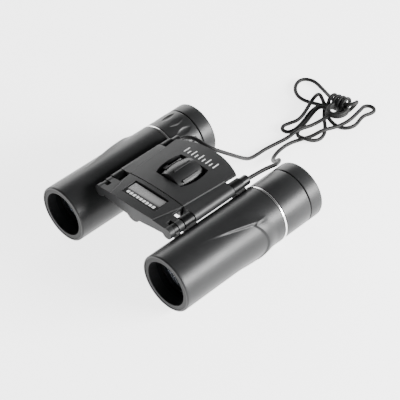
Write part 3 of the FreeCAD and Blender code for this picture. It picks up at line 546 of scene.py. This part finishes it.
LOWER_LOOP = [
    (-0.0118, 0.1040, 0.0023),
    (-0.0110, 0.0996, 0.0014),
    (-0.0096, 0.0948, 0.0012),
    (-0.0084, 0.0902, 0.0011),
    (-0.0078, 0.0870, 0.0010),
    (-0.0055, 0.0844, 0.0010),
    (-0.0020, 0.0830, 0.0026),
    (0.0012, 0.0834, 0.0028),
    (0.0037, 0.0860, 0.0014),
    (0.0050, 0.0892, 0.0010),
    (0.0044, 0.0928, 0.0010),
    (0.0024, 0.0962, 0.0010),
    (-0.0006, 0.0996, 0.0010),
    (-0.0040, 0.1028, 0.0012),
    (-0.0072, 0.1062, 0.0018),
    (-0.0098, 0.1096, 0.0020),
    (-0.0128, 0.1112, 0.0014),
]
UPPER_LOOP = [
    (-0.0162, 0.1106, 0.0010),
    (-0.0198, 0.1094, 0.0010),
    (-0.0242, 0.1086, 0.0010),
    (-0.0290, 0.1096, 0.0010),
    (-0.0336, 0.1128, 0.0010),
    (-0.0366, 0.1174, 0.0010),
    (-0.0369, 0.1216, 0.0010),
    (-0.0344, 0.1240, 0.0010),
    (-0.0302, 0.1248, 0.0010),
    (-0.0241, 0.1229, 0.0010),
    (-0.0186, 0.1206, 0.0014),
    (-0.0134, 0.1178, 0.0028),
    (-0.0090, 0.1158, 0.0040),
    (-0.0046, 0.1146, 0.0046),
    (-0.0006, 0.1126, 0.0048),
    (0.0006, 0.1092, 0.0048),
    (-0.0008, 0.1054, 0.0046),
    (-0.0024, 0.1016, 0.0038),
    (-0.0038, 0.0976, 0.0026),
    (-0.0050, 0.0934, 0.0022),
    (-0.0060, 0.0890, 0.0029),
]


def flat_turns():
    """Turns that lie on each other round the middle of the hank."""
    turns = 2
    steps = 14
    extra_steps = 6
    start_angle = math.radians(-115)
    middle_x = -0.0008
    middle_y = 0.1092
    bottom = 0.0040
    points = []
    for step in range(turns * steps + extra_steps):
        angle = start_angle - 2 * math.pi * step / steps
        share = step / (turns * steps)
        across = 0.0052 - 0.0007 * share
        along = 0.0058 - 0.0009 * share
        points.append((middle_x + across * math.cos(angle), middle_y + along * math.sin(angle),
                       bottom + 0.0021 * share))
    return points


TIE_ENTRY = [
    (0.0008, 0.1136, 0.0072),
    (0.0036, 0.1146, 0.0079),
    (0.0046, 0.1172, 0.0080),
    (0.0034, 0.1196, 0.0069),
    (0.0018, 0.1202, 0.0040),
]
TIE_EXIT = [
    (-0.0112, 0.1098, 0.0062),
    (-0.0138, 0.1109, 0.0078),
    (-0.0166, 0.1118, 0.0064),
    (-0.0182, 0.1106, 0.0039),
]


def tie_turns():
    """Turns wound round the strands at the head of the hank."""
    turns = 4
    steps = 12
    extra_steps = 4
    start_angle = math.radians(-60)
    radius = 0.0036
    lean = 0.1     # how far a turn leans along the tie, for each unit across it
    points = []
    for step in range(turns * steps + extra_steps):
        angle = start_angle - 2 * math.pi * step / steps
        share = step / (turns * steps)
        middle = Vector((0.0006 - 0.0098 * share, 0.1160 - 0.0024 * share, 0.0049))
        across = radius * math.cos(angle)
        points.append(tuple(middle + Vector((lean * across, across, radius * math.sin(angle)))))
    return points


def cord_route():
    """The whole cord, from the left strap cap through the hank to the right strap cap."""
    route = LEFT_LEAD + RIGHT_LOOPS + flat_turns() + TIE_ENTRY + tie_turns() + TIE_EXIT
    return route + LEFT_LOOP + LOWER_LOOP + UPPER_LOOP + RIGHT_LEAD[::-1]


def smooth_line(points):
    """Points along the NURBS spline that follows the route."""
    curve = bpy.data.curves.new("cord_line", "CURVE")
    curve.dimensions = "3D"
    spline = curve.splines.new("NURBS")
    spline.points.add(len(points) - 1)
    for target, point in zip(spline.points, points):
        target.co = (*point, 1.0)
    spline.order_u = 3
    spline.use_endpoint_u = True
    spline.resolution_u = CORD_RINGS_PER_POINT
    holder = bpy.data.objects.new("cord_line", curve)
    mesh = bpy.data.meshes.new_from_object(holder)
    line = [vertex.co.copy() for vertex in mesh.vertices]
    bpy.data.meshes.remove(mesh)
    bpy.data.objects.remove(holder)
    return [line[0]] + [after for here, after in zip(line, line[1:]) if (after - here).length > SAME_PLACE]


def distances_along(line):
    """How far each point of a line lies from its start, along it."""
    distances = [0.0]
    for here, after in zip(line, line[1:]):
        distances.append(distances[-1] + (after - here).length)
    return distances


def add_weave(piece, distances):
    """A UV map with the share round the cord, and how often a strand has gone round it."""
    weave = piece.data.uv_layers.new(name="weave")
    for polygon in piece.data.polygons:
        sides = [vertex % CORD_SIDES for vertex in polygon.vertices]
        at_seam = 0 in sides and CORD_SIDES - 1 in sides
        for loop, vertex, side in zip(polygon.loop_indices, polygon.vertices, sides):
            share = 1.0 if at_seam and side == 0 else side / CORD_SIDES
            weave.data[loop].uv = (share, distances[vertex // CORD_SIDES] / WEAVE_LENGTH)


def braided_tube(name, line, body, slot):
    """A round tube along a line, with the strands of a braid standing out of its surface."""
    distances = distances_along(line)
    tangent = (line[1] - line[0]).normalized()
    across = tangent.orthogonal().normalized()
    vertices = []
    for number, point in enumerate(line):
        before = line[max(number - 1, 0)]
        after = line[min(number + 1, len(line) - 1)]
        turned = (after - before).normalized()
        across = tangent.rotation_difference(turned) @ across
        across = (across - turned * across.dot(turned)).normalized()
        tangent = turned
        other = tangent.cross(across)
        phase = 2 * math.pi * CORD_WAVES * distances[number] / WEAVE_LENGTH
        for side in range(CORD_SIDES):
            angle = 2 * math.pi * side / CORD_SIDES
            strands = math.sin(CORD_WAVES * angle + phase) * math.sin(phase - CORD_WAVES * angle)
            radius = CORD_RADIUS + CORD_RELIEF * strands
            vertices.append(point + (across * math.cos(angle) + other * math.sin(angle)) * radius)
    first_end = tuple(range(CORD_SIDES))
    last_end = tuple(reversed(range(len(vertices) - CORD_SIDES, len(vertices))))
    faces = grid_faces(len(line), CORD_SIDES) + [first_end, last_end]
    piece = new_object(name, vertices, faces, body, MATERIALS[slot])
    add_weave(piece, distances)
    return piece, distances[-1]


def make_cord():
    """The neck cord, which leaves the left strap cap and goes back into the right one."""
    line = smooth_line(cord_route())
    cord, length = braided_tube("neck_cord", line, "bridge", "cord_fabric")
    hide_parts("neck_cord_left", "neck_cord_right", "neck_cord_hank")


# ---- barrels ----

ARMOUR_RADIUS = 14.2 * MM
ARMOUR_BORE = 13.05 * MM
ARMOUR_COLUMNS = 240
ARMOUR_SHARP_ANGLE = 40.0
LIP = 0.7 * MM             # rounding of the sleeve's front edge
LIP_WIDTH = 1.4 * LIP
TAIL_ROUNDING = 0.2 * MM
BAND_HEIGHT = 0.95 * MM    # how far the raised band stands out
BAND_LEAST = 2 * MM        # the least distance from the pocket's edge to the band's outer edge
STEP_WIDTH = 1.3 * MM      # width of the slope from the pocket up to the band
PAD_RISE = 0.45 * MM       # how far the pocket's floor has risen where it meets the band
PAD_START = 30.0 * MM
PAD_END = 50.0 * MM

# The pocket's rear edge lies furthest back at its middle, and its two sides run forward to a tip.
# Angles are in degrees from the pocket's middle, and lengths in millimetres from the objective face.
POCKET_REAR = 48.6
POCKET_CURVE = 0.0023
POCKET_TIP = 22.0
POCKET_TIP_ANGLE = 68.0
POCKET_SLOPE = 0.93
POCKET_BLEND = 2.0
BAND_REAR = 56.7
BAND_DROP = 6.4
BAND_DROP_ANGLE = 62.0
BAND_FADE_ANGLE = 50.0
BAND_END_ANGLE = 78.0

LIP_ROWS = 4
POCKET_ROWS = 40
SLOPE_ROWS = 7
BAND_ROWS = 26
TAIL_ROWS = 6


def soft_step(low, high, value):
    """0 below low and 1 above high, smooth between them."""
    share = min(1.0, max(0.0, (value - low) / (high - low)))
    return share * share * (3 - 2 * share)


def pocket_edge(angle):
    """How far from the objective face the pocket ends and the band begins."""
    rear = POCKET_REAR - POCKET_CURVE * angle ** 2
    side = POCKET_TIP + POCKET_SLOPE * (POCKET_TIP_ANGLE - angle)
    mix = max(0.0, min(1.0, 0.5 + 0.5 * (side - rear) / POCKET_BLEND))
    return (side * (1 - mix) + rear * mix - POCKET_BLEND * mix * (1 - mix) * 0.5) * MM


def band_outer_edge(angle):
    """How far from the objective face the raised band has faded back into the sleeve."""
    return (BAND_REAR - BAND_DROP * (angle / BAND_DROP_ANGLE) ** 3) * MM


def armour_line(length, angle):
    """One line of the sleeve from front to rear, as points (distance from its face, height)."""
    reach = min(angle, BAND_END_ANGLE)
    inner = pocket_edge(reach)
    outer = max(band_outer_edge(reach), inner + BAND_LEAST)
    one_degree = ARMOUR_RADIUS * math.radians(1.0)
    slope = (pocket_edge(max(reach - 1.0, 0.0)) - pocket_edge(reach)) / one_degree
    start = inner + STEP_WIDTH * math.hypot(1.0, slope)
    height = BAND_HEIGHT * (1 - soft_step(BAND_FADE_ANGLE, BAND_END_ANGLE, angle))
    points = []
    for row in range(LIP_ROWS, -1, -1):
        turn = math.pi / 2 * row / LIP_ROWS
        points.append((LIP - LIP * math.sin(turn), -LIP + LIP * math.cos(turn)))
    pad = min(PAD_RISE, height)
    for row in range(1, POCKET_ROWS + 1):
        along = LIP + (inner - LIP) * row / POCKET_ROWS
        points.append((along, pad * soft_step(PAD_START, PAD_END, along)))
    pad = points[-1][1]
    for row in range(1, SLOPE_ROWS + 1):
        share = row / SLOPE_ROWS
        points.append((inner + (start - inner) * share, pad + (height - pad) * soft_step(0, 1, share)))
    for row in range(1, BAND_ROWS + 1):
        share = row / BAND_ROWS
        points.append((start + (outer - start) * share, height * math.cos(math.pi / 2 * share) ** 2))
    for row in range(1, TAIL_ROWS + 1):
        points.append((outer + (length - TAIL_ROUNDING - outer) * row / TAIL_ROWS, 0.0))
    points.append((length, -TAIL_ROUNDING))
    return points


def make_armour(side_name):
    """The soft sleeve of one barrel, with its raised band round the pocket on the outer side."""
    side = SIDES[side_name]
    node = side_name + "_barrel_armour"
    low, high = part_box(node)
    angles = [2 * math.pi * column / ARMOUR_COLUMNS for column in range(ARMOUR_COLUMNS)]
    lines = []
    for angle in angles:
        from_pocket = math.degrees(math.acos(math.cos(angle)))
        lines.append(armour_line(high.y - low.y, from_pocket))
    rings = []
    for row in zip(*lines):
        rings.append([(low.y + along, ARMOUR_RADIUS + rise) for along, rise in row])
    rings.append([(high.y, ARMOUR_BORE)] * ARMOUR_COLUMNS)
    rings.append([(low.y + LIP, ARMOUR_BORE)] * ARMOUR_COLUMNS)
    rings.append([(low.y, ARMOUR_RADIUS - LIP_WIDTH)] * ARMOUR_COLUMNS)
    vertices = []
    for ring in rings:
        for angle, (y, radius) in zip(angles, ring):
            vertices.append((side * (BARREL_X + radius * math.cos(angle)), y,
                             BARREL_Z + radius * math.sin(angle)))
    faces = grid_faces(len(rings), ARMOUR_COLUMNS, True)
    armour = new_object(side_name + "_armour", vertices, faces, BODY_OF[node], MATERIALS["armour"])
    sharpen(armour, ARMOUR_SHARP_ANGLE)
    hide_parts(node)


# ---- eyepieces ----

EYEPIECE_RADIUS = 14.15 * MM
EYEPIECE_SEGMENTS = 160
NECK_RADIUS = 13.0 * MM         # the sleeve's neck, which the eyecup sits on
NECK_LENGTH = 3.4 * MM
CORE_ROOM = 11.92 * MM          # bore round the eyepiece core
OCULAR_ROOM = 10.1 * MM         # bore round the ocular cell
CORE_SHOULDER = 0.6 * MM
EDGE = 0.45 * MM
SMALL_EDGE = 0.2 * MM
EYECUP_MOUTH = 11.0 * MM
EYECUP_TAPER = 0.9 * MM         # how much narrower the mouth is at its floor
EYECUP_RIM = 1.1 * MM           # rounding of the rim's outer edge
EYECUP_INNER_RIM = 0.8 * MM
EYECUP_GAP = 0.03 * MM
EYECUP_DEPTH = 0.37 * MM        # how far the floor lies before the end of the neck

DENTS = 15                      # finger hollows round the dioptre ring
DENT_PHASE = math.radians(7.5)
DENT_LENGTH = 9.4 * MM
DENT_WIDTH = 3.6 * MM
DENT_DEPTH = 0.55 * MM
DENT_SHIFT = 1.2 * MM           # how far their middle lies behind the ring's middle
DENT_SEGMENTS = 300
RING_START, RING_END = (corner.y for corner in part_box("dioptre_ring"))
DENT_MIDDLE = (RING_START + RING_END - NECK_LENGTH) / 2 + DENT_SHIFT


def dioptre_dent(radius, y, angle):
    """How deep the finger hollows round the dioptre ring are at a point."""
    along = (y - DENT_MIDDLE) / (DENT_LENGTH / 2)
    if radius < NECK_RADIUS or abs(along) >= 1:
        return 0.0
    spacing = 2 * math.pi / DENTS
    turn = (angle - DENT_PHASE + spacing / 2) % spacing - spacing / 2
    across = turn * radius / (DENT_WIDTH / 2) / (1 - along ** 2)
    return DENT_DEPTH * (1 - along ** 2) * max(0.0, 1 - across ** 2)


def make_sleeve(node, side, segments, dent=None):
    """The outer sleeve of an eyepiece, with rounded edges."""
    low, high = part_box(node)
    shoulder = high.y - NECK_LENGTH
    corners = [
        (CORE_ROOM, low.y, SMALL_EDGE),
        (EYEPIECE_RADIUS, low.y, EDGE),
        (EYEPIECE_RADIUS, shoulder, EDGE),
        (NECK_RADIUS, shoulder, 0.0),
        (NECK_RADIUS, high.y, SMALL_EDGE),
        (OCULAR_ROOM, high.y, SMALL_EDGE),
        (OCULAR_ROOM, shoulder, 0.0),
        (CORE_ROOM, shoulder - CORE_SHOULDER, 0.0),
    ]
    centre = (side * BARREL_X, BARREL_Z)
    sleeve = lathe(node + "_shape", corners, centre, BODY_OF[node], "eyepiece_plastic", segments, dent)
    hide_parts(node)


def make_eyecup(side_name):
    """A soft eyecup with a rolled rim."""
    node = side_name + "_eyecup"
    low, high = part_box(node)
    floor = low.y + NECK_LENGTH - EYECUP_DEPTH
    corners = [
        (NECK_RADIUS + EYECUP_GAP, low.y, 0.0),
        (EYEPIECE_RADIUS, low.y, EDGE),
        (EYEPIECE_RADIUS, high.y, EYECUP_RIM),
        (EYECUP_MOUTH, high.y, EYECUP_INNER_RIM),
        (EYECUP_MOUTH - EYECUP_TAPER, floor, 0.0),
        (NECK_RADIUS + EYECUP_GAP, floor, 0.0),
    ]
    centre = (SIDES[side_name] * BARREL_X, BARREL_Z)
    cup = lathe(node + "_shape", corners, centre, BODY_OF[node], "eyecup_rubber", EYEPIECE_SEGMENTS)
    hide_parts(node)


# ---- print ----

PRINT_LIFT = 0.03 * MM
MARK_ROWS = 4
MARK_WIDTH = 0.62 * MM
SCALE_HALF = 9.4 * MM
SCALE_STEPS = 8
SCALE_START = 12.3 * MM
LONG_MARK = 3.8 * MM
SHORT_MARK = 2.2 * MM
LABEL_BARS = 9
BAR_MARGIN = 0.12          # share of the label's width beside the row of bars
BAR_START = 1.2 * MM
BAR_WIDTH = 2.4 * MARK_WIDTH
BAR_LENGTH = 1.5 * MM


def surface(node):
    """A function that gives a CAD node's top height at a place."""
    mesh = NODES[node].data
    corners = [vertex.co.copy() for vertex in mesh.vertices]
    tree = BVHTree.FromPolygons(corners, [tuple(polygon.vertices) for polygon in mesh.polygons])
    return lambda x, y: tree.ray_cast(Vector((x, y, 1.0)), Vector((0, 0, -1)))[0].z


def print_marks(name, marks, node):
    """Flat marks just above a surface. Each mark is (x, y, width, length)."""
    height = surface(node)
    vertices = []
    faces = []
    for x, y, width, length in marks:
        start = len(vertices)
        for row in range(MARK_ROWS + 1):
            along = y + length * row / MARK_ROWS
            for across in (x - width / 2, x + width / 2):
                vertices.append((across, along, height(across, along) + PRINT_LIFT))
        for row in range(MARK_ROWS):
            corner = start + 2 * row
            faces.append((corner, corner + 1, corner + 3, corner + 2))
    new_object(name, vertices, faces, BODY_OF[node], INK)


def make_prints():
    """A plain tick scale behind the focus wheel, and a row of plain bars on the label."""
    marks = []
    for step in range(SCALE_STEPS + 1):
        x = SCALE_HALF * (2 * step / SCALE_STEPS - 1)
        length = LONG_MARK if step % 2 == 0 else SHORT_MARK
        marks.append((x, SCALE_START, MARK_WIDTH, length))
    print_marks("focus_scale", marks, "rear_cover")
    low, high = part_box("label_plate")
    bars = []
    for step in range(LABEL_BARS):
        share = BAR_MARGIN + (1 - 2 * BAR_MARGIN) * step / (LABEL_BARS - 1)
        bars.append((low.x + (high.x - low.x) * share, low.y + BAR_START, BAR_WIDTH, BAR_LENGTH))
    print_marks("label_bars", bars, "label_plate")


def soften_cad_nodes():
    """Round edges on the CAD nodes that show and have none."""
    for node in ("rear_cover", "front_plate", "bottom_cover"):
        soften(node, 0.25 * MM)
    soften("focus_wheel", 0.1 * MM)
    for side_name in SIDES:
        soften(side_name + "_front_ring", 0.2 * MM)
        soften(side_name + "_bright_ring", 0.25 * MM)
        soften(side_name + "_barrel_housing", 0.2 * MM)


# ---- stage ----

FLOOR_HALF = 3.0
FLOOR_GREY = 0.9
FLOOR_GLOW = 3.2           # its own light, so that it shows almost white
HORIZON_LIGHT = 1.2
SKY_LIGHT = 0.08
LIT_POINT = (0, 0, 0.02)


def make_floor():
    """A plain pale floor that gives off light of its own."""
    mesh = bpy.data.meshes.new("floor")
    half = FLOOR_HALF
    corners = [(-half, -half, 0), (half, -half, 0), (half, half, 0), (-half, half, 0)]
    mesh.from_pydata(corners, [], [(0, 1, 2, 3)])
    floor = bpy.data.objects.new("floor", mesh)
    bpy.context.scene.collection.objects.link(floor)
    material = bpy.data.materials.new("pale_floor")
    material.use_nodes = True
    shader = material.node_tree.nodes["Principled BSDF"]
    shader.inputs["Base Color"].default_value = grey(FLOOR_GREY)
    shader.inputs["Roughness"].default_value = 0.9
    shader.inputs["Specular IOR Level"].default_value = 0.1
    shader.inputs["Emission Color"].default_value = (1, 1, 1, 1)
    shader.inputs["Emission Strength"].default_value = FLOOR_GLOW
    mesh.materials.append(material)


def soft_light(name, place, width, height, power):
    """A soft box that faces the object."""
    data = bpy.data.lights.new(name, "AREA")
    data.shape = "RECTANGLE"
    data.size = width
    data.size_y = height
    data.energy = power
    light = bpy.data.objects.new(name, data)
    bpy.context.scene.collection.objects.link(light)
    light.location = place
    aim(light, LIT_POINT)


def make_light():
    """A bright low horizon under a darker sky, and two soft boxes."""
    world = bpy.data.worlds.new("studio")
    bpy.context.scene.world = world
    world.use_nodes = True
    tree = world.node_tree
    background = tree.nodes["Background"]
    background.inputs["Color"].default_value = (1, 1, 1, 1)
    place = tree.nodes.new("ShaderNodeTexCoord")
    split = tree.nodes.new("ShaderNodeSeparateXYZ")
    fade = tree.nodes.new("ShaderNodeMapRange")
    fade.inputs["From Min"].default_value = 0.05
    fade.inputs["From Max"].default_value = 0.75
    fade.inputs["To Min"].default_value = HORIZON_LIGHT
    fade.inputs["To Max"].default_value = SKY_LIGHT
    tree.links.new(place.outputs["Generated"], split.inputs["Vector"])
    tree.links.new(split.outputs["Z"], fade.inputs["Value"])
    tree.links.new(fade.outputs["Result"], background.inputs["Strength"])
    soft_light("right_box", (0.66, 0.39, 0.22), 0.55, 0.26, 26.0)
    soft_light("left_box", (-0.62, 0.36, 0.26), 0.6, 0.3, 3.0)


make_camera()
finish_cad_nodes()
make_cord()
for side_name in SIDES:
    make_armour(side_name)
    make_eyecup(side_name)
make_sleeve("left_eyepiece_sleeve", SIDES["left"], EYEPIECE_SEGMENTS)
make_sleeve("dioptre_ring", SIDES["right"], DENT_SEGMENTS, dioptre_dent)
make_prints()
soften_cad_nodes()
make_floor()
make_light()
